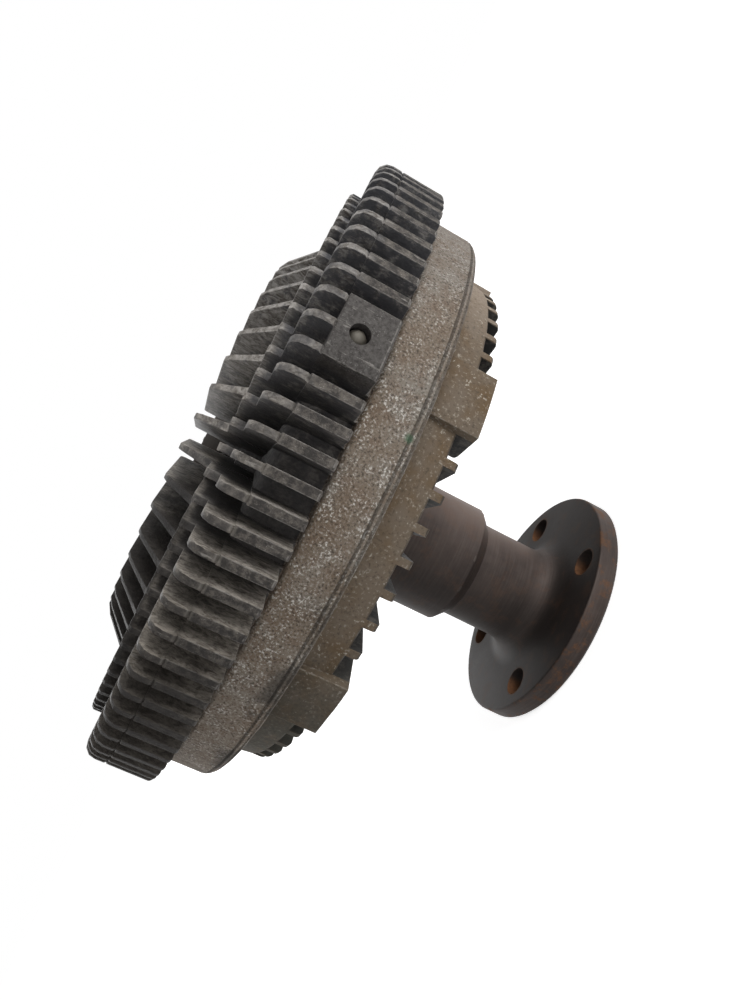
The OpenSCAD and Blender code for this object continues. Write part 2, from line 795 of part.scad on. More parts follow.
// Pressed arm with a joggle down to the pad that covers the port
module valve_arm() {
    pad_d = port_d + 4;
    joggle = arm_t;
    foot = port_r - pad_d/2 - 1;
    reach = port_r + pad_d/2 + 1;
    color("#bfc1c4")
        difference() {
            intersection() {
                rotate(arm_turn)
                    translate([0, 0, z_pad])
                        linear_extrude(2*arm_t) {
                            circle(d = arm_w + 3);
                            translate([0, -arm_w/2])
                                square([port_r, arm_w]);
                            translate([port_r, 0])
                                circle(d = pad_d);
                        }
                rotate(arm_turn)
                    translate([0, pad_d, 0])
                        rotate([90, 0, 0])
                            linear_extrude(2*pad_d)
                                polygon([
                                    [-reach, z_arm], [foot - joggle, z_arm], [foot, z_pad], [reach, z_pad],
                                    [reach, z_arm], [foot + joggle/2, z_arm],
                                    [foot - joggle/2, z_arm_top], [-reach, z_arm_top]
                                ]);
            }
            translate([0, 0, z_pad])
                cylinder(r = tenon_r + seat_gap, h = 3*arm_t);
        }
}

module valve_o_ring() {
    color("#1d1d1f")
        torus(valve_bore_r - ring_section/2 - 0.01, ring_section, z_valve_ring);
}

// Open clip in the valve shaft's groove, over the boss
module valve_clip() {
    clip_in_r = valve_r - clip_groove + seat_gap;
    clip_reach = 2;
    clip_out_r = valve_r + clip_reach;
    color("#8d8f93")
        difference() {
            ring(clip_in_r, clip_out_r, z_clip, z_clip + clip_t);
            translate([0, -clip_in_r*0.8, z_clip - 1])
                cube([2*clip_out_r, clip_in_r*1.6, clip_t + 2]);
        }
}

// Spiral of bimetal strip, inner end in the valve shaft and outer end in the post
module bimetal_coil() {
    steps = 36*coil_turns;
    tab = valve_r + 0.6;
    outer_tab = post_r + post_d/2 + 0.6;
    function at(i, side) =
        let (a = coil_end_turn*i/steps, r = coil_r0 + coil_pitch*coil_turns*i/steps + side*strip_t/2)
            [r*cos(a), r*sin(a)];
    color("#7d6a52")
        translate([0, 0, z_coil])
            linear_extrude(strip_w) {
                polygon(concat(
                    [for (i = [0:steps]) at(i, 1)],
                    [for (i = [steps:-1:0]) at(i, -1)]
                ));
                translate([-tab, -strip_t/2])
                    square([tab + coil_r0 + strip_t/2, strip_t]);
                rotate(coil_end_turn)
                    translate([coil_end_r - strip_t/2, -strip_t/2])
                        square([outer_tab - coil_end_r + strip_t/2, strip_t]);
            }
}

drive_shaft();
bearing_inner_race();
bearing_balls();
bearing_cage();
bearing_outer_race();
bearing_seal_rear();
bearing_seal_front();
bearing_snap_ring();
rotor();
rotor_keeper();
rear_housing();
front_housing();
housing_o_ring();
passage_ball();
wiper_dam();
partition_plate();
partition_screws();
valve_shaft();
valve_arm();
valve_o_ring();
valve_clip();
bimetal_coil();
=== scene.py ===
# %% [markdown]
# A used viscous fan clutch, as it comes off an engine. The imported model already holds every solid at its
# real size, so this lesson only dresses it: worn edges on the castings, threads in the fan bosses, and a
# finish for each metal. We load the model first.

# %% Load the imported clutch
import json
import math

import bpy
from mathutils import Matrix, Vector


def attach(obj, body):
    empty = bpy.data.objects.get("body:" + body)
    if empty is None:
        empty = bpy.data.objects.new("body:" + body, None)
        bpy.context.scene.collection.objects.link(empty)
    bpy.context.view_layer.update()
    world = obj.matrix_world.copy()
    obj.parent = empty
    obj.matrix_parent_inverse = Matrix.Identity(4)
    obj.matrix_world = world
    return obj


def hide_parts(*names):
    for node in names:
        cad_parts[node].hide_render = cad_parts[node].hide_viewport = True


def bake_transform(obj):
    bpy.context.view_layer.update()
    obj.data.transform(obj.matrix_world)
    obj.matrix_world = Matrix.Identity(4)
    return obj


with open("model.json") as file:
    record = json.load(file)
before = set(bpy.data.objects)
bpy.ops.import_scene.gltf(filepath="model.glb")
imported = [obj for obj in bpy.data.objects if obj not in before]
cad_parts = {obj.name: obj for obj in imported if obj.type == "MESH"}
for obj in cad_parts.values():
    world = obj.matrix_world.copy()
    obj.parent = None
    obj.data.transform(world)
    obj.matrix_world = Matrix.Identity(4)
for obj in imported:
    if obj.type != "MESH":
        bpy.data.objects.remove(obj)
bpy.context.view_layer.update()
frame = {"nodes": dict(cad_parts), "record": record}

# %% [markdown]
# The photograph looks at the rim from the side and a little from the front, with the camera rolled so that
# the clutch's axis runs up to the left. The place and the axes come from fitting the photograph's circles.
# The lens is a phone's wide lens, so it is short.

# %% Camera at the photograph's place
CAMERA_PLACE = Vector((0.0, -0.25534, 0.119422))
CAMERA_RIGHT = Vector((0.446198, -0.176081, -0.877441))
CAMERA_UP = Vector((0.894514, 0.057691, 0.443302))
CAMERA_LENS_MM = 27.953
SENSOR_MM = 36.0
NEAREST_SEEN = 0.01

camera_data = bpy.data.cameras.new("photo_camera")
camera_data.lens = CAMERA_LENS_MM
camera_data.sensor_width = SENSOR_MM
camera_data.clip_start = NEAREST_SEEN
camera = bpy.data.objects.new("photo_camera", camera_data)
camera_back = CAMERA_RIGHT.cross(CAMERA_UP)
turn = Matrix((CAMERA_RIGHT, CAMERA_UP, camera_back)).transposed()
camera.matrix_world = Matrix.Translation(CAMERA_PLACE) @ turn.to_4x4()
bpy.context.scene.collection.objects.link(camera)
bpy.context.scene.camera = camera
print("camera at", tuple(round(v, 3) for v in CAMERA_PLACE))

# %% [markdown]
# Shader sums read best as sums. A small class wraps a node's output, so that plus, minus, times and divided
# by add Math nodes by themselves. Its rise step is the mask that we need most: 0 on one side of a border,
# 1 on the other, and smooth between.

# %% A node's output, ready for sums
class Value:
    """One output of a shader node, ready for arithmetic."""

    def __init__(self, finish, socket):
        self.finish = finish
        self.socket = socket

    def math(self, operation, *others):
        return self.finish.node("ShaderNodeMath", {"operation": operation}, [self, *others])[0]

    def __add__(self, other):
        return self.math("ADD", other)

    def __mul__(self, other):
        return self.math("MULTIPLY", other)

    def __sub__(self, other):
        return self.math("SUBTRACT", other)

    def __truediv__(self, other):
        return self.math("DIVIDE", other)

    def __rsub__(self, other):
        return self.finish.node("ShaderNodeMath", {"operation": "SUBTRACT"}, [other, self])[0]

    __radd__ = __add__
    __rmul__ = __mul__

    def rise(self, low, high):
        """0 below low, 1 above high, smooth between; the other way round if low is the larger."""
        settings = {"interpolation_type": "SMOOTHSTEP"}
        return self.finish.node("ShaderNodeMapRange", settings, [self, low, high, 0.0, 1.0])[0]


print("shader outputs can be added and multiplied")

# %% [markdown]
# A second class is one material. It adds any node from its type, its settings and the values or links of its
# sockets, and it gives the place in millimetres: x, y and z, the distance r from the clutch's axis, and the
# way that the surface faces. In the photograph +X points up, so facing_up is the x of the normal.

# %% One material
MM_PER_M = 1000.0


class Finish:
    """One material, with the few steps that every finish here shares."""

    NORMAL, PLACE = 1, 3
    MIX_FACTOR, MIX_FIRST, MIX_SECOND, MIXED_COLOUR = 0, 6, 7, 2
    ATTRIBUTE_FACTOR = 2

    def __init__(self, name, roughness=0.5, metallic=0.0):
        self.material = bpy.data.materials.new(name)
        self.material.use_nodes = True
        self.tree = self.material.node_tree
        self.shader = self.tree.nodes["Principled BSDF"]
        self.set("Roughness", roughness)
        self.set("Metallic", metallic)
        surface = self.node("ShaderNodeTexCoord", {}, {})
        in_mm = {"Vector": surface[self.PLACE], "Scale": MM_PER_M}
        self.mm = self.node("ShaderNodeVectorMath", {"operation": "SCALE"}, in_mm)[0]
        self.x, self.y, self.z = self.node("ShaderNodeSeparateXYZ", {}, [self.mm])
        self.r = (self.x * self.x + self.y * self.y).math("SQRT")
        facing_x, facing_y, facing_z = self.node("ShaderNodeSeparateXYZ", {}, [surface[self.NORMAL]])
        self.facing_out = (facing_x * self.x + facing_y * self.y) / self.r
        self.facing_front = facing_z
        self.facing_up = facing_x

    def node(self, kind, settings, inputs):
        made = self.tree.nodes.new(kind)
        for key, value in settings.items():
            setattr(made, key, value)
        pairs = inputs.items() if isinstance(inputs, dict) else enumerate(inputs)
        for key, value in pairs:
            self.feed(made.inputs[key], value)
        return [Value(self, out) for out in made.outputs]

    def feed(self, target, value):
        if isinstance(value, Value):
            self.tree.links.new(value.socket, target)
        else:
            target.default_value = value

    def set(self, name, value):
        self.feed(self.shader.inputs[name], value)

    def mix(self, factor, first, second):
        inputs = {self.MIX_FACTOR: factor, self.MIX_FIRST: first, self.MIX_SECOND: second}
        return self.node("ShaderNodeMix", {"data_type": "RGBA"}, inputs)[self.MIXED_COLOUR]

    def noise(self, per_mm, detail=3.0, roughness=0.6, place=None, distortion=0.0):
        inputs = {"Vector": place or self.mm, "Scale": per_mm, "Detail": detail}
        inputs.update({"Roughness": roughness, "Distortion": distortion})
        return self.node("ShaderNodeTexNoise", {}, inputs)[0]

    def worn_edge(self):
        """1 on the edges that a worn copy has rounded."""
        return self.node("ShaderNodeAttribute", {"attribute_name": "worn_edge"}, {})[self.ATTRIBUTE_FACTOR]

    def stretched(self, scale):
        """The place in mm, squeezed along some axes, so that a noise becomes streaks."""
        return self.node("ShaderNodeVectorMath", {"operation": "MULTIPLY"}, [self.mm, scale])[0]

    def bump(self, height, depth_mm, strength=1.0):
        inputs = {"Height": height, "Distance": depth_mm / MM_PER_M, "Strength": strength}
        self.set("Normal", self.node("ShaderNodeBump", {}, inputs)[0])


def grey(level):
    return (level, level, level, 1.0)


def colour(red, green, blue):
    return (red, green, blue, 1.0)


print("materials can be made")

# %% [markdown]
# Both halves of the housing are die castings in bare aluminium, and years under a bonnet have rounded their
# edges. The solids have sharp ones. To wear a solid we first copy it, merge its loose triangles and dissolve
# the flat ones into whole faces, so that a Bevel modifier later finds clean edges.

# %% A merged copy of a solid
MERGE_DISTANCE = 1e-6
FLAT_ANGLE = math.radians(0.4)


def only(piece):
    bpy.ops.object.select_all(action="DESELECT")
    piece.select_set(True)
    bpy.context.view_layer.objects.active = piece


def apply_modifier(piece, kind, **settings):
    modifier = piece.modifiers.new(kind.lower(), kind)
    for key, value in settings.items():
        setattr(modifier, key, value)
    only(piece)
    bpy.ops.object.modifier_apply(modifier=modifier.name)


def merged_copy(node, name):
    piece = bpy.data.objects.new(name, frame["nodes"][node].data.copy())
    bpy.context.scene.collection.objects.link(piece)
    only(piece)
    bpy.ops.mesh.customdata_custom_splitnormals_clear()
    bpy.ops.object.mode_set(mode="EDIT")
    bpy.ops.mesh.select_all(action="SELECT")
    bpy.ops.mesh.remove_doubles(threshold=MERGE_DISTANCE)
    bpy.ops.mesh.dissolve_limited(angle_limit=FLAT_ANGLE)
    bpy.ops.object.mode_set(mode="OBJECT")
    return piece


print("triangles of the front solid:", len(frame["nodes"]["front_housing"].data.polygons))

# %% [markdown]
# Not every edge can be rounded. An edge is chosen if it is sharp, if it points outwards, because nothing rubs
# an inner corner, and if the faces beside it leave room, so that two rounded edges never meet. The room is a
# share of the face's mean width, and a share of the edges that the rounding runs into.

# %% Edges with room for a rounding
SHARP_ANGLE = math.radians(32)
SHARE_OF_FACE = 0.45
SHARE_OF_NEIGHBOUR = 0.8


def edges_to_round(mesh, width):
    """1 for each sharp outer edge whose faces have room for the rounding, else 0."""
    room = [math.inf] * len(mesh.edges)
    sides = [[] for _ in mesh.edges]
    for face in mesh.polygons:
        edges = [mesh.loops[i].edge_index for i in face.loop_indices]
        corners = [mesh.vertices[i].co for i in face.vertices]
        lengths = [(b - a).length for a, b in zip(corners, corners[1:] + corners[:1])]
        strip = 2.0 * face.area / sum(lengths)
        for k, edge in enumerate(edges):
            neighbour = min(lengths[k - 1], lengths[(k + 1) % len(edges)])
            room[edge] = min(room[edge], strip * SHARE_OF_FACE, neighbour * SHARE_OF_NEIGHBOUR)
            sides[edge].append((face.normal.copy(), face.center.copy()))
    chosen = []
    for spare, ((normal, centre), (other_normal, other_centre)) in zip(room, sides):
        sharp = normal.angle(other_normal, 0.0) > SHARP_ANGLE
        outer = (other_centre - centre).dot(normal) < 0.0
        chosen.append(float(sharp and outer and spare >= width))
    return chosen


print("edges over", round(math.degrees(SHARP_ANGLE)), "degrees are rounded")

# %% [markdown]
# Now the wear itself. A cloud texture pushes the skin in a little, as knocks do. The Bevel modifier rounds
# the chosen edges and gives its strips the second material slot, and a Triangulate modifier leaves plain
# triangles. The strips then get a face attribute, worn_edge, so that a finish can show bare metal there.

# %% Knocks, rounded edges and their marks
KNOCK_SIZE = 0.006
ROUNDING_STEPS = 2
PLAIN_SLOT, STRIP_SLOT = 0, 1


def knock(piece, depth_mm):
    clouds = bpy.data.textures.new(piece.name + "_clouds", "CLOUDS")
    clouds.noise_scale = KNOCK_SIZE
    apply_modifier(piece, "DISPLACE", texture=clouds, strength=-depth_mm / MM_PER_M, mid_level=0.0)


def round_edges(piece, edge_mm):
    width = edge_mm / MM_PER_M
    weights = piece.data.attributes.new("bevel_weight_edge", "FLOAT", "EDGE")
    weights.data.foreach_set("value", edges_to_round(piece.data, width))
    apply_modifier(
        piece, "BEVEL", width=width, segments=ROUNDING_STEPS, limit_method="WEIGHT",
        use_clamp_overlap=False, material=STRIP_SLOT,
    )
    apply_modifier(piece, "TRIANGULATE")


def mark_strips(piece):
    faces = piece.data.polygons
    worn = piece.data.attributes.new("worn_edge", "FLOAT", "FACE")
    worn.data.foreach_set("value", [float(face.material_index == STRIP_SLOT) for face in faces])
    faces.foreach_set("material_index", [PLAIN_SLOT] * len(faces))


print("a knock is about", KNOCK_SIZE * MM_PER_M, "mm across")

# %% [markdown]
# The two castings and the shaft are worn in this way, and the copies then stand for their solids. The front
# casting is the most exposed, so it has the deepest knocks. The shaft is hard steel, so it has none, but the
# lathe left its edges well broken.

# %% Worn castings and shaft
FRONT_EDGE_MM, FRONT_KNOCK_MM = 0.2, 0.3
REAR_EDGE_MM, REAR_KNOCK_MM = 0.25, 0.2
SHAFT_EDGE_MM = 0.5
SMOOTH_ANGLE = math.radians(35)


def worn_copy(node, name, edge_mm, knock_mm=0.0):
    piece = merged_copy(node, name)
    piece.data.materials.clear()
    for _ in (PLAIN_SLOT, STRIP_SLOT):
        piece.data.materials.append(None)
    if knock_mm:
        knock(piece, knock_mm)
    round_edges(piece, edge_mm)
    mark_strips(piece)
    only(piece)
    bpy.ops.object.shade_smooth_by_angle(angle=SMOOTH_ANGLE)
    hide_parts(node)
    print(name, "faces:", len(piece.data.polygons))
    return piece


front_casting = worn_copy("front_housing", "front_casting", FRONT_EDGE_MM, FRONT_KNOCK_MM)
rear_casting = worn_copy("rear_housing", "rear_casting", REAR_EDGE_MM, REAR_KNOCK_MM)
steel_shaft = worn_copy("drive_shaft", "steel_shaft", SHAFT_EDGE_MM)
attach(front_casting, "housing")
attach(rear_casting, "housing")
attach(steel_shaft, "shaft")

# %% [markdown]
# The front casting shows three states of the same metal. The plain band is bare, speckled and dusty. The
# sides of the fins are nearly black with oil. The crests that the air and the spanners reach are scuffed
# to a dusty grey. The masks come from the place on the casting: how far out, how far forward and which
# way the surface faces. The noises and masks that several layers share are made first.

# %% Noises and places of the front casting
TOP_MM = 75.0
LOW_HALF_MM = (35.0, -15.0)
TALL_FINS_MM = (121.0, 124.0)
OUTER_FINS_MM = (86.0, 97.0)
CRESTS_MM = (95.5, 97.5)
NEAR_BAND_MM = (114.6, 110.0)

front = Finish("oily_front_casting", roughness=0.6)
cloud = front.noise(0.06, 4.0)
blot = front.noise(0.24, 6.0, 0.68)
grain = front.noise(1.1, 4.0, 0.65)
fine = front.noise(3.2, 2.0)
upper = front.x.rise(-TOP_MM, TOP_MM)
low_half = front.x.rise(*LOW_HALF_MM)
tall = front.z.rise(*TALL_FINS_MM)
outer = front.r.rise(*OUTER_FINS_MM) + tall * 0.7
near_band = front.z.rise(*NEAR_BAND_MM)
reached = (0.15 + low_half * 0.5 + near_band * 0.85).math("MINIMUM", 1.0)
crest = front.facing_out.rise(0.5, 0.85) * front.r.rise(*CRESTS_MM) * reached
print("nodes for noises and places:", len(front.tree.nodes))

# %% [markdown]
# The first layers of the fins: an oil film, road dust on the film, and the scuffed crests. The dust lies in
# streaks along the axis, and in blots on the tall fins. The pale dust colour is also laid on the flanks that
# face up, most at their outer edge, as painted light from the lamp above; deep between the fins they stay
# dark, as painted shade.

# %% Oil, dust, painted light and scuffs on the fins
MOST_DUST_AND_LIGHT = 0.92
ALONG_AXIS = (1.0, 1.0, 0.5)

oil = front.mix(upper, colour(0.042, 0.037, 0.033), colour(0.050, 0.051, 0.058))
# Painted light: flanks that face up, towards the lamp, take the pale colour, most at the outer edge and in
# the lower half. Real dust blots vary it.
lit_flanks_and_dust = front.facing_up.rise(-0.25, 0.5) * (0.35 + low_half * 0.65)
dust_and_light = (lit_flanks_and_dust * outer * 1.75 + 0.14) * (0.35 + blot.rise(0.34, 0.56) * 0.65)
patch = blot.rise(0.49, 0.62) * 0.5 + blot.rise(0.28, 0.50) * tall
dust_and_light = dust_and_light + patch * (1.0 - low_half)
streak = front.noise(0.8, 5.0, 0.72, front.stretched(ALONG_AXIS), 0.8)
pale = front.mix(upper, colour(0.33, 0.295, 0.25), colour(0.33, 0.315, 0.30))
dust = front.mix(streak.rise(0.32, 0.66), colour(0.080, 0.069, 0.057), pale)
fins = front.mix(dust_and_light.math("MINIMUM", MOST_DUST_AND_LIGHT), oil, dust)

scuff = front.noise(0.45, 6.0, 0.75).rise(0.40, 0.66)
dusty = front.mix(scuff, colour(0.036, 0.033, 0.031), colour(0.118, 0.105, 0.092))
dusty = front.mix(fine.rise(0.60, 0.72) * scuff, dusty, colour(0.25, 0.242, 0.228))
fins = front.mix(crest * cloud.rise(0.1, 0.45), fins, dusty)
print("nodes with oil, dust and scuffs:", len(front.tree.nodes))

# %% [markdown]
# Between the fins lies a cast pad with the drilled passage, darker and plainer than the fins. Its mask turns
# the place so that the pad lies on one axis, and then cuts out a box.

# %% Cast pad
PAD_TURN = math.radians(-69.8)
PAD_HALF_MM = 8.7
PAD_BORDER_MM = 0.2
PAD_FACE_MM = (90.0, 95.0)
PAD_FRONT_MM = (113.6, 113.0)
PAD_REAR_MM = (99.5, 100.3)

along_pad = front.x * math.cos(PAD_TURN) + front.y * math.sin(PAD_TURN)
across_pad = (front.y * math.cos(PAD_TURN) - front.x * math.sin(PAD_TURN)).math("ABSOLUTE")
on_pad = across_pad.rise(PAD_HALF_MM + PAD_BORDER_MM, PAD_HALF_MM - PAD_BORDER_MM)
on_pad = on_pad * along_pad.rise(*PAD_FACE_MM) * front.z.rise(*PAD_FRONT_MM) * front.z.rise(*PAD_REAR_MM)
pad = front.mix(grain.rise(0.3, 0.7), colour(0.040, 0.036, 0.034), colour(0.088, 0.082, 0.077))
pad = front.mix(fine.rise(0.62, 0.72) * blot.rise(0.4, 0.6), pad, colour(0.24, 0.235, 0.22))
fins = front.mix(on_pad, fins, pad)
print("nodes with the pad:", len(front.tree.nodes))

# %% [markdown]
# Use has left its marks on all the fins: dirt pressed into the notch behind the lobes, fine scratches along
# the axis and rubbed edges. In the lower half the dirt in the notch is light enough to hide the notch's
# shade, as painted light, and the low end of the fins is darkened with a ragged border, as painted shade.

# %% Packed dirt and painted light, scratches, rubbed edges and painted shade
FIN_NOTCH_MM = 113.4
NOTCH_BORDER_MM = (1.1, 0.5)
NOTCH_RADIUS_MM = (94.5, 96.5)
LONG_SCRATCHES = (1.0, 1.0, 0.14)
RAGGED_MM = 70.0
MOST_SHADE = 0.94

# Dirt pressed into the notch, made light in the lower half so that it also stands in for light over the
# notch's shade: partly real dirt, partly painted light.
packed_dirt_and_light = (front.z - FIN_NOTCH_MM).math("ABSOLUTE").rise(*NOTCH_BORDER_MM) * front.r.rise(*NOTCH_RADIUS_MM)
fins = front.mix(packed_dirt_and_light * low_half * 0.4, fins, colour(0.20, 0.182, 0.158))
scratch = front.noise(1.5, 2.0, 0.5, front.stretched(LONG_SCRATCHES), 0.6).rise(0.62, 0.70)
scratch = scratch * outer.math("MINIMUM", 1.0) * blot.rise(0.42, 0.6)
fins = front.mix(scratch * 0.6, fins, colour(0.27, 0.255, 0.235))
rubbed = front.worn_edge() * front.noise(0.7, 4.0).rise(0.36, 0.6) * (0.3 + near_band * 0.4)
fins = front.mix(rubbed, fins, colour(0.21, 0.198, 0.184))
# Painted shade: the low end of the fins, and of the tall fins, is darkened with a ragged border, where the
# lamp above leaves it in shade.
ragged = front.x + (cloud - 0.5) * RAGGED_MM
shaded_bottom = ragged.rise(-23.0, -68.0) * 0.8 + tall * ragged.rise(-2.0, -22.0) * 0.9
fins = front.mix(shaded_bottom.math("MINIMUM", MOST_SHADE), fins, colour(0.016, 0.014, 0.013))
print("nodes with the marks of use:", len(front.tree.nodes))

# %% [markdown]
# The band is bare metal. It has a thin film of rust, white specks of corrosion with dark pits between them,
# a stain near the lip, dirt in the two grooves of the rolled lip and one small speck of green paint. It is
# lighter and greyer towards the top, as painted light from the lamp above, and lighter and browner lower
# down.

# %% Bare band
STAIN_MM = (93.5, 88.0)
GROOVES_MM = (86.03, 87.53)
GROOVE_BORDER_MM = (0.6, 0.25)
LIP_MM = (88.5, 89.5)
PAINT_SPECK_MM = (19.8, -89.2, 87.9)
PAINT_BORDER_MM = (1.6, 0.7)

bare = front.mix(cloud.rise(0.35, 0.65), colour(0.150, 0.117, 0.087), colour(0.193, 0.172, 0.147))
# Painted light: lighter and greyer towards the top, where the lamp above lights the band.
bare = front.mix(front.x.rise(30.0, 90.0) * 0.6, bare, colour(0.220, 0.204, 0.186))
bare = front.mix(front.x.rise(-22.0, -58.0) * 0.45, bare, colour(0.245, 0.205, 0.168))
rusty = front.noise(0.3, 5.0, 0.7).rise(0.46, 0.62)
bare = front.mix(rusty * 0.5, bare, colour(0.125, 0.085, 0.058))
speck = front.noise(1.7, 3.0, 0.6)
white = speck.rise(0.53, 0.65) * (0.25 + blot.rise(0.44, 0.58) * 0.75)
white = white * (1.0 - front.x.rise(15.0, 65.0) * 0.45)
bare = front.mix(white, bare, colour(0.48, 0.46, 0.425))
bare = front.mix(speck.rise(0.46, 0.34) * 0.85, bare, colour(0.05, 0.042, 0.035))
stain = front.z.rise(*STAIN_MM) * front.noise(0.11, 4.0).rise(0.44, 0.6) * front.x.rise(-5.0, -45.0)
bare = front.mix(stain * 0.75, bare, colour(0.04, 0.036, 0.032))
for height in GROOVES_MM:
    in_groove = (front.z - height).math("ABSOLUTE").rise(*GROOVE_BORDER_MM) * front.r.rise(*LIP_MM)
    bare = front.mix(in_groove * blot, bare, colour(0.03, 0.027, 0.024))
away = front.node("ShaderNodeVectorMath", {"operation": "DISTANCE"}, [front.mm, PAINT_SPECK_MM])[1]
bare = front.mix(away.rise(*PAINT_BORDER_MM) * grain, bare, colour(0.035, 0.11, 0.06))
print("nodes with the band:", len(front.tree.nodes))

# %% [markdown]
# The layers come together in one material. The fins and the band meet at the front edge of the band. The
# noises that colour the casting also roughen it, so that each blot has its own small dip.

# %% Finish of the front casting
BAND_END_MM = (99.9, 99.5)
BAND_RADIUS_MM = (93.4, 92.8)


def dress(piece, material):
    piece.data.materials.clear()
    piece.data.materials.append(material)


on_band = front.z.rise(*BAND_END_MM) * front.r.rise(*BAND_RADIUS_MM)
front.set("Base Color", front.mix(on_band, fins, bare))
front.set("Roughness", 0.5 + on_band * 0.2 + crest * 0.12)
front.set("Specular IOR Level", 0.1)
front.bump(grain * 0.6 + fine * 0.2 + blot * 0.8, 0.4, 0.8)
dress(front_casting, front.material)
print("front casting dressed, nodes:", len(front.tree.nodes))

# %% [markdown]
# The rear casting carries the fan. Its drum and bosses keep a tan film of road dust over light specks, and
# its small fins, inside the drum's radius, are as dark as those at the front. The tan is lighter towards the
# top, as painted light from the lamp above, and darker lower down, as painted shade.

# %% Finish of the rear casting
DRUM_RADIUS_MM = (81.6, 81.2)
DRUM_FRONT_MM = (85.5, 84.5)

rear = Finish("dusty_rear_casting", roughness=0.72)
cloud = rear.noise(0.08, 4.0)
blot = rear.noise(0.24, 6.0, 0.68)
grain = rear.noise(1.1, 4.0, 0.65)
fine = rear.noise(3.0, 2.0)
tan = rear.mix(cloud.rise(0.35, 0.65), colour(0.112, 0.076, 0.044), colour(0.132, 0.105, 0.079))
# Painted light: a lighter tan towards the top, where the lamp above lights the drum and bosses.
tan = rear.mix(rear.x.rise(45.0, 80.0) * 0.8, tan, colour(0.275, 0.225, 0.180))
light = grain.rise(0.56, 0.66) * (0.3 + blot.rise(0.5, 0.62) * 0.6)
tan = rear.mix(light, tan, colour(0.40, 0.37, 0.315))
tan = rear.mix(grain.rise(0.45, 0.33) * 0.65, tan, colour(0.06, 0.05, 0.04))
oil = rear.mix(blot.rise(0.45, 0.65), colour(0.022, 0.021, 0.02), colour(0.075, 0.068, 0.06))
behind = rear.facing_front.rise(-0.5, -0.85)
oil = rear.mix(behind * cloud.rise(0.3, 0.6) * 0.5, oil, tan)
inside = rear.r.rise(*DRUM_RADIUS_MM) * rear.z.rise(*DRUM_FRONT_MM)
dressed = rear.mix(inside, tan, oil)
shaded = rear.x.rise(-22.0, -60.0) * (0.45 + blot.rise(0.3, 0.55) * 0.4)
shade = rear.mix(grain, colour(0.030, 0.029, 0.024), colour(0.092, 0.088, 0.076))
dressed = rear.mix(shaded, dressed, shade)
rubbed = rear.worn_edge() * rear.noise(0.7, 4.0).rise(0.38, 0.6)
rear.set("Base Color", rear.mix(rubbed * 0.55, dressed, colour(0.25, 0.225, 0.19)))
rear.set("Roughness", 0.75 - inside * 0.2)
rear.set("Specular IOR Level", 0.1)
rear.bump(grain * 0.6 + fine * 0.2 + blot * 0.5, 0.28, 0.6)
dress(rear_casting, rear.material)
print("rear casting dressed, nodes:", len(rear.tree.nodes))

# %% [markdown]
# The shaft is a steel forging turned on its neck and collar. It has gone dark and brown. The face of the
# flange and the lower side are darkened, as painted shade, and the top is lightened, as painted light from
# the lamp above. Fine lines round the neck are left from the lathe.

# %% Dark steel of the drive shaft
TURNING_LINES = (0.12, 0.12, 3.0)

shaft = Finish("rusted_forging", roughness=0.55, metallic=0.2)
cloud = shaft.noise(0.07, 5.0)
grain = shaft.noise(0.9, 4.0, 0.65)
turned = shaft.noise(0.5, 4.0, 0.7, shaft.stretched(TURNING_LINES))
steel = shaft.mix(cloud.rise(0.3, 0.7), colour(0.036, 0.027, 0.024), colour(0.064, 0.048, 0.042))
steel = shaft.mix(turned.rise(0.4, 0.7) * 0.15, steel, colour(0.14, 0.122, 0.11))
# Painted shade: the face of the flange and the lower side are darkened, away from the lamp.
shaded_flange_face = shaft.facing_front.rise(0.5, 0.9) * shaft.z.rise(16.0, 10.0)
steel = shaft.mix(shaded_flange_face * 0.85, steel, colour(0.015, 0.012, 0.011))
shaded_underside = shaft.x.rise(12.0, -14.0) * shaft.z.rise(5.0, 12.0)
steel = shaft.mix(shaded_underside * 0.65, steel, colour(0.016, 0.013, 0.012))
# Painted light: the top of the neck and collar is lightened, where the lamp above lights it.
lit_top = shaft.x.rise(8.0, 20.0) * shaft.z.rise(12.0, 20.0)
steel = shaft.mix(lit_top * 0.8, steel, colour(0.172, 0.128, 0.109))
rubbed = shaft.worn_edge() * grain.rise(0.3, 0.6)
steel = shaft.mix(rubbed * 0.2, steel, colour(0.22, 0.195, 0.175))
print("nodes for the steel:", len(shaft.tree.nodes))

# %% [markdown]
# Rust sits in the four bolt holes and along the rim of the flange. The holes are found by turning the place
# so that they lie on the two axes, and measuring to the nearer one.

# %% Rust on the drive shaft
BOLT_TURN = math.radians(36.5)
BOLT_RING_MM = 31.5
BOLT_HOLE_MM = 4.5
FLANGE_RADIUS_MM = 40.0
FLANGE_FACE_MM = (9.0, 8.0)


def to_hole(u, v):
    """Distance from the nearer of the two holes on the axis of u."""
    short = u.math("ABSOLUTE") - BOLT_RING_MM
    return (short * short + v * v).math("SQRT")


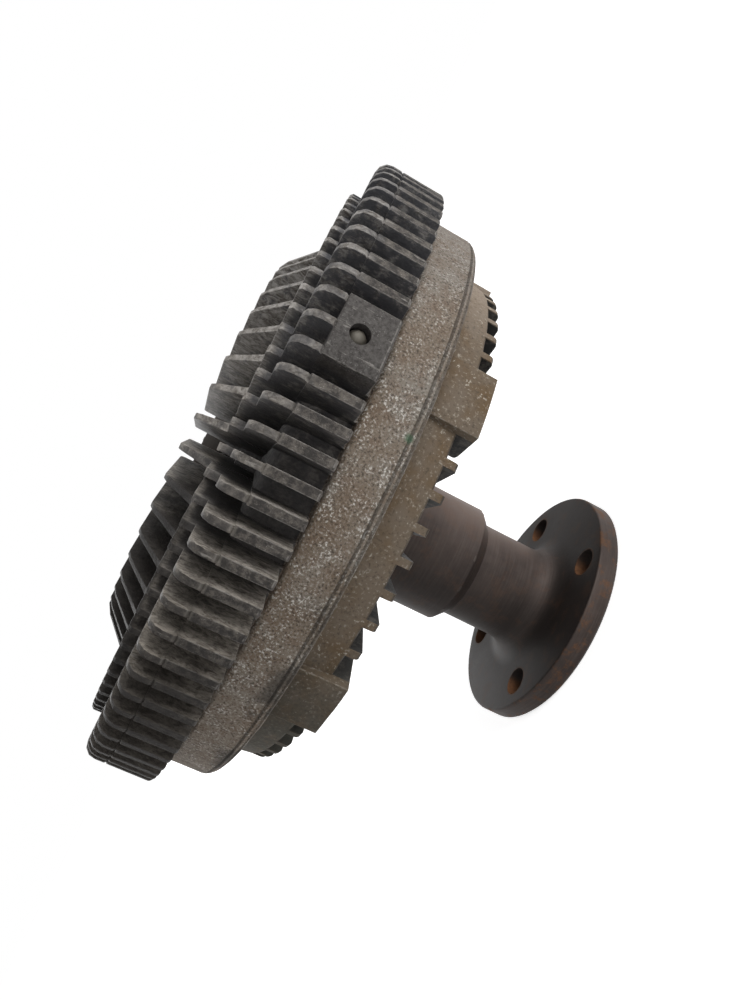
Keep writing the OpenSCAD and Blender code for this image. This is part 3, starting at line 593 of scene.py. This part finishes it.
across = shaft.x * math.cos(BOLT_TURN) + shaft.y * math.sin(BOLT_TURN)
along = shaft.y * math.cos(BOLT_TURN) - shaft.x * math.sin(BOLT_TURN)
near_hole = to_hole(across, along).math("MINIMUM", to_hole(along, across))
in_hole = near_hole.rise(BOLT_HOLE_MM + 0.9, BOLT_HOLE_MM + 0.1) * shaft.z.rise(*FLANGE_FACE_MM)
steel = shaft.mix(in_hole * 0.8, steel, colour(0.014, 0.011, 0.010))
low_wall = in_hole * shaft.facing_up.rise(-0.3, 0.6)
on_rim = shaft.r.rise(FLANGE_RADIUS_MM - 0.8, FLANGE_RADIUS_MM - 0.3)
patches = shaft.noise(0.16, 5.0, 0.7).rise(0.5, 0.64)
rust = (low_wall * 0.85 + on_rim * patches * 0.4 + patches * 0.1).math("MINIMUM", 1.0)
brown = shaft.mix(grain, colour(0.07, 0.034, 0.018), colour(0.22, 0.10, 0.045))
shaft.set("Base Color", shaft.mix(rust, steel, brown))
shaft.set("Metallic", 0.2 - rust * 0.2)
shaft.set("Specular IOR Level", 0.15)
shaft.set("Roughness", 0.5 + rust * 0.3 + grain * 0.1)
shaft.bump(grain * 0.6 + turned * 0.4, 0.12, 0.45)
dress(steel_shaft, shaft.material)
print("shaft dressed, nodes:", len(shaft.tree.nodes))

# %% [markdown]
# The pieces inside keep their solids. Bearing steel, spring steel, machined aluminium, brass and rubber
# each get one finish with its own grain, so that they look right wherever a view reaches them. The plug ball
# and the end of the valve shaft lie open to the dirt, so they are duller than the steel inside.

# %% Finishes of the inner pieces
MACHINE_LINES = (0.15, 0.15, 4.0)


def plain_metal(name, dark, light, roughness, metallic, grain_per_mm, bump_mm):
    f = Finish(name, roughness, metallic)
    grain = f.noise(grain_per_mm, 4.0, 0.6)
    lines = f.noise(grain_per_mm, 3.0, 0.7, f.stretched(MACHINE_LINES))
    f.set("Base Color", f.mix(grain * 0.6 + lines * 0.4, dark, light))
    f.set("Roughness", roughness - 0.1 + grain * 0.2)
    f.bump(lines, bump_mm, 0.4)
    return f.material


inner_looks = {
    "bearing_steel": (grey(0.42), grey(0.62), 0.25, 1.0, 0.8, 0.02),
    "cage_brass": (colour(0.36, 0.25, 0.1), colour(0.58, 0.43, 0.2), 0.4, 0.9, 0.8, 0.04),
    "seal_rubber": (grey(0.018), grey(0.04), 0.75, 0.0, 1.2, 0.05),
    "spring_steel": (grey(0.13), colour(0.26, 0.25, 0.24), 0.42, 0.8, 1.0, 0.04),
    "rotor_aluminium": (grey(0.45), grey(0.62), 0.38, 0.9, 0.7, 0.04),
    "plate_steel": (grey(0.3), grey(0.5), 0.4, 0.9, 0.9, 0.04),
    "bimetal_strip": (colour(0.015, 0.013, 0.011), colour(0.05, 0.04, 0.032), 0.65, 0.2, 0.6, 0.06),
}
inner_finishes = {slot: plain_metal(slot, *look) for slot, look in inner_looks.items()}
slots = {entry["node"]: entry["material_slot"] for entry in frame["record"]["subparts"]}
for node_name, node_object in frame["nodes"].items():
    if slots[node_name] in inner_finishes:
        dress(node_object, inner_finishes[slots[node_name]])

dirty_steel = (colour(0.05, 0.045, 0.036), colour(0.12, 0.108, 0.086), 0.6, 0.3, 0.9, 0.05)
dull_steel = (grey(0.07), grey(0.16), 0.55, 0.5, 0.9, 0.04)
dress(frame["nodes"]["passage_ball"], plain_metal("plug_ball", *dirty_steel))
dress(frame["nodes"]["valve_shaft"], plain_metal("dull_pin", *dull_steel))
print("inner pieces dressed:", sum(slot in inner_finishes for slot in slots.values()))

# %% [markdown]
# The bimetal coil crosses a joint. A post of the housing holds its outer end, and its inner end sits in the
# slot of the valve shaft, which it turns as it warms. A worn copy of its solid stands in for it, with its
# place baked into the mesh.

# %% Bimetal coil between the housing and the valve
COIL_EDGE_MM = 0.12

coil_strip = worn_copy("bimetal_coil", "coil_strip", COIL_EDGE_MM)
dress(coil_strip, inner_finishes["bimetal_strip"])
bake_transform(coil_strip)

# %% [markdown]
# The six fan bosses are tapped for M6 bolts, and a tap leaves a ridge that climbs one millimetre each turn.
# We draw the section of that ridge once, as a circle of four points, move it out to the wall of the hole and
# let a Screw modifier wind it up. Its two open ends are filled.

# %% Ridge of one thread
THREAD_PITCH = 0.001
THREAD_TURNS = 10
THREAD_HALF = 0.0003
STEPS_A_TURN = 24
TAP_RADIUS = 0.0025
SECTION_POINTS = 4

bpy.ops.object.select_all(action="DESELECT")
bpy.ops.mesh.primitive_circle_add(
    vertices=SECTION_POINTS, radius=THREAD_HALF, rotation=(math.pi / 2, 0.0, 0.0)
)
ridge = bpy.context.active_object
bpy.ops.object.transform_apply(rotation=True)
bpy.ops.object.mode_set(mode="EDIT")
bpy.ops.mesh.select_all(action="SELECT")
bpy.ops.transform.translate(value=(TAP_RADIUS, 0.0, 0.0))
bpy.ops.object.mode_set(mode="OBJECT")
apply_modifier(
    ridge, "SCREW", axis="Z", angle=2.0 * math.pi, screw_offset=THREAD_PITCH, iterations=THREAD_TURNS,
    steps=STEPS_A_TURN, render_steps=STEPS_A_TURN,
)
bpy.ops.object.mode_set(mode="EDIT")
bpy.ops.mesh.select_all(action="SELECT")
bpy.ops.mesh.fill_holes(sides=SECTION_POINTS)
bpy.ops.mesh.normals_make_consistent(inside=False)
bpy.ops.object.mode_set(mode="OBJECT")
print("ridge faces:", len(ridge.data.polygons))

# %% [markdown]
# Each boss gets a copy of the ridge with its own mesh, and the pattern itself is deleted. Bolts kept these
# turns clean, so they are brighter than the casting.

# %% Threads in the fan bosses
BOSS_COUNT = 6
FAN_RING = 0.074
FIRST_BOSS = math.radians(-63.6)
THREAD_START = 0.0716

dress(ridge, plain_metal("clean_thread", grey(0.16), grey(0.34), 0.45, 0.8, 1.5, 0.02))
for number in range(BOSS_COUNT):
    turned_by = FIRST_BOSS + number * 2.0 * math.pi / BOSS_COUNT
    thread = bpy.data.objects.new(f"boss_thread_{number + 1}", ridge.data.copy())
    bpy.context.scene.collection.objects.link(thread)
    thread.location = (FAN_RING * math.cos(turned_by), FAN_RING * math.sin(turned_by), THREAD_START)
    only(thread)
    bpy.ops.object.transform_apply(location=True)
    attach(thread, "housing")
bpy.data.meshes.remove(ridge.data)
print("threads in the bosses:", BOSS_COUNT)

# %% [markdown]
# The studio is plain: an even sky, and a pale floor under the flange. The camera sees both as nearly white,
# which gives the photograph's white background without more light on the metal. A Light Path node tells
# these rays from the ones that light the clutch.

# %% Sky and floor
FLOOR_SIZE = 6.0
FLOOR_GREY = 0.86
FLOOR_ROUGHNESS = 0.9
FLOOR_GLOW = 0.70
SKY_LIGHT = 0.32


def seen_directly(tree):
    """Light Path factor: 1 for camera, mirror and glass rays."""
    path = tree.nodes.new("ShaderNodeLightPath")
    seen = path.outputs["Is Camera Ray"]
    for ray in ("Is Glossy Ray", "Is Transmission Ray"):
        either = tree.nodes.new("ShaderNodeMath")
        either.operation = "MAXIMUM"
        tree.links.new(seen, either.inputs[0])
        tree.links.new(path.outputs[ray], either.inputs[1])
        seen = either.outputs[0]
    return seen


world = bpy.data.worlds.new("studio_sky")
world.use_nodes = True
bpy.context.scene.world = world
sky_tree = world.node_tree
sky = sky_tree.nodes["Background"]
sky.inputs["Color"].default_value = grey(1.0)
sky_strength = sky_tree.nodes.new("ShaderNodeMapRange")
sky_strength.inputs["To Min"].default_value = SKY_LIGHT
sky_tree.links.new(seen_directly(sky_tree), sky_strength.inputs["Value"])
sky_tree.links.new(sky_strength.outputs[0], sky.inputs["Strength"])

bpy.ops.object.select_all(action="DESELECT")
bpy.ops.mesh.primitive_plane_add(size=FLOOR_SIZE, location=(0.0, 0.0, 0.0))
floor = bpy.context.active_object
floor.name = "studio_floor"
floor_material = bpy.data.materials.new("pale_floor")
floor_material.use_nodes = True
floor_tree = floor_material.node_tree
floor_shader = floor_tree.nodes["Principled BSDF"]
floor_shader.inputs["Base Color"].default_value = grey(FLOOR_GREY)
floor_shader.inputs["Roughness"].default_value = FLOOR_ROUGHNESS
floor_shader.inputs["Emission Strength"].default_value = 1.0
floor_glow = floor_tree.nodes.new("ShaderNodeMapRange")
floor_glow.inputs["To Max"].default_value = FLOOR_GLOW
floor_tree.links.new(seen_directly(floor_tree), floor_glow.inputs["Value"])
floor_tree.links.new(floor_glow.outputs[0], floor_shader.inputs["Emission Color"])
floor.data.materials.append(floor_material)
print("sky and floor ready")

# %% [markdown]
# One broad lamp stands on the side that the photograph is lit from. Weaker ones in front, behind and above
# keep the shaded sides readable. Each lamp has a place, a size in metres and a power in watts, and all of
# them point at the middle of the clutch.

# %% Lamps
MIDDLE = (0.0, 0.0, 0.09)


def lamp(name, place, target, size, watts):
    data = bpy.data.lights.new(name, "AREA")
    data.energy = watts
    data.size = size
    made = bpy.data.objects.new(name, data)
    made.location = place
    made.rotation_euler = (Vector(target) - Vector(place)).to_track_quat("-Z", "Y").to_euler()
    bpy.context.scene.collection.objects.link(made)


lamp("key_lamp", (0.72, -0.55, 0.2), MIDDLE, 0.6, 7.5)
lamp("fill_lamp", (-0.1, -0.95, 0.06), MIDDLE, 0.8, 1.5)
lamp("rear_lamp", (-0.5, 0.8, 0.5), MIDDLE, 0.8, 4.0)
lamp("top_lamp", (0.0, 0.1, 1.0), MIDDLE, 0.7, 2.5)
bpy.context.scene.view_settings.view_transform = "Standard"
print("lamps ready")
